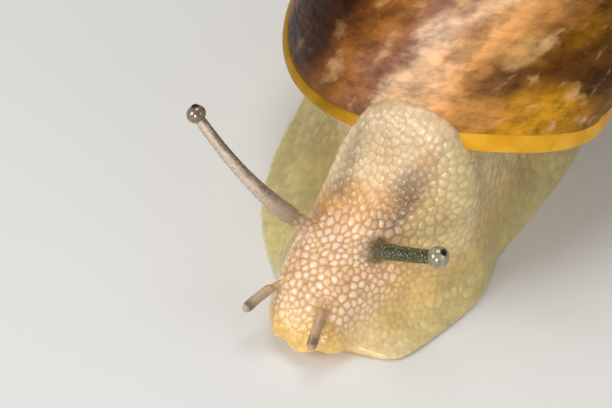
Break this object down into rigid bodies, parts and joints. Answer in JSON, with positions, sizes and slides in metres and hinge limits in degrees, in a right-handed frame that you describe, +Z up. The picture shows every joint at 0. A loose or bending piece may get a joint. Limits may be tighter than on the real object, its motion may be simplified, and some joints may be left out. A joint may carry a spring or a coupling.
{
  "type": "garden snail",
  "caption": "Garden snail crawling with its head turned slightly and its tentacles out: coiled brown shell with an amber lip, carried over a long flat foot.",
  "frame": {"origin": "on the floor under the middle of the animal's bounding box, level with the sole", "axes": "+Z up, +Y from the head towards the tail, +X towards the snail's left side"},
  "size_m": [0.0252, 0.0628, 0.0235],
  "materials": {
    "skin": "wet, glossy, finely granular",
    "mouth": "wet and smooth",
    "tentacle": "wet, glossy, finely granular",
    "eye_bulb": "clear and glossy over grey",
    "eye_pupil": "glossy black",
    "shell": "satin, banded and flecked, fine growth lines",
    "shell_lip": "satin amber"
  },
  "bodies": {
    "root": {"foot_front": "skin", "foot_middle": "skin", "foot_rear": "skin", "tail": "skin", "tail_tip": "skin", "head": "skin", "neck": "skin", "trunk": "skin", "mantle_collar": "skin", "mouth": "mouth", "oral_lappet_left": "mouth", "oral_lappet_right": "mouth", "tentacle_upper_left_base": "tentacle", "tentacle_upper_left_middle": "tentacle", "tentacle_upper_left_tip": "tentacle", "tentacle_upper_right_base": "tentacle", "tentacle_upper_right_middle": "tentacle", "tentacle_upper_right_tip": "tentacle", "tentacle_lower_left_base": "tentacle", "tentacle_lower_left_tip": "tentacle", "tentacle_lower_right_base": "tentacle", "tentacle_lower_right_tip": "tentacle", "eye_bulb_left": "eye_bulb", "eye_bulb_right": "eye_bulb", "eye_pupil_left": "eye_pupil", "eye_pupil_right": "eye_pupil", "shell_body_whorl": "shell", "shell_spire": "shell", "shell_apex": "shell", "shell_lip": "shell_lip"}
  },
  "joints": []
}
